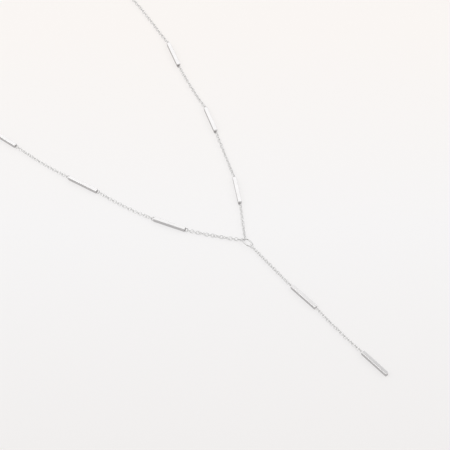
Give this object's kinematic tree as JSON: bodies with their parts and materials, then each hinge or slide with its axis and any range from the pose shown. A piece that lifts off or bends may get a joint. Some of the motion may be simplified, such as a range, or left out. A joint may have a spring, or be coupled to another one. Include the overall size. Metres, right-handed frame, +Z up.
{
  "type": "y necklace",
  "caption": "Fine cable chain Y necklace lying flat, with slim square bars soldered in line, an oval ring where its arms meet, and a drop ending in a bar.",
  "frame": {"origin": "bottom centre of the whole necklace's box, on the surface that it lies on", "axes": "+Y from the drop towards the clasp, +Z up from the surface, +X towards the arm on the right when the drop points at the viewer"},
  "size_m": [0.0762, 0.2572, 0.0018],
  "materials": {
    "bars": "polished silver",
    "chain": "polished silver wire",
    "ring": "polished silver wire",
    "clasp": "polished silver"
  },
  "bodies": {
    "root": {"y_ring": "ring", "bar_right_1": "bars", "bar_right_2": "bars", "bar_right_3": "bars", "bar_left_1": "bars", "bar_left_2": "bars", "bar_left_3": "bars", "bar_drop": "bars", "bar_tip": "bars", "chain_right_1": "chain", "chain_right_2": "chain", "chain_right_3": "chain", "chain_left_1": "chain", "chain_left_2": "chain", "chain_left_3": "chain", "chain_drop_1": "chain", "chain_drop_2": "chain", "chain_right_back_1": "chain", "chain_right_back_2": "chain", "chain_left_back_1": "chain", "chain_left_back_2": "chain", "clasp": "clasp"}
  },
  "joints": []
}
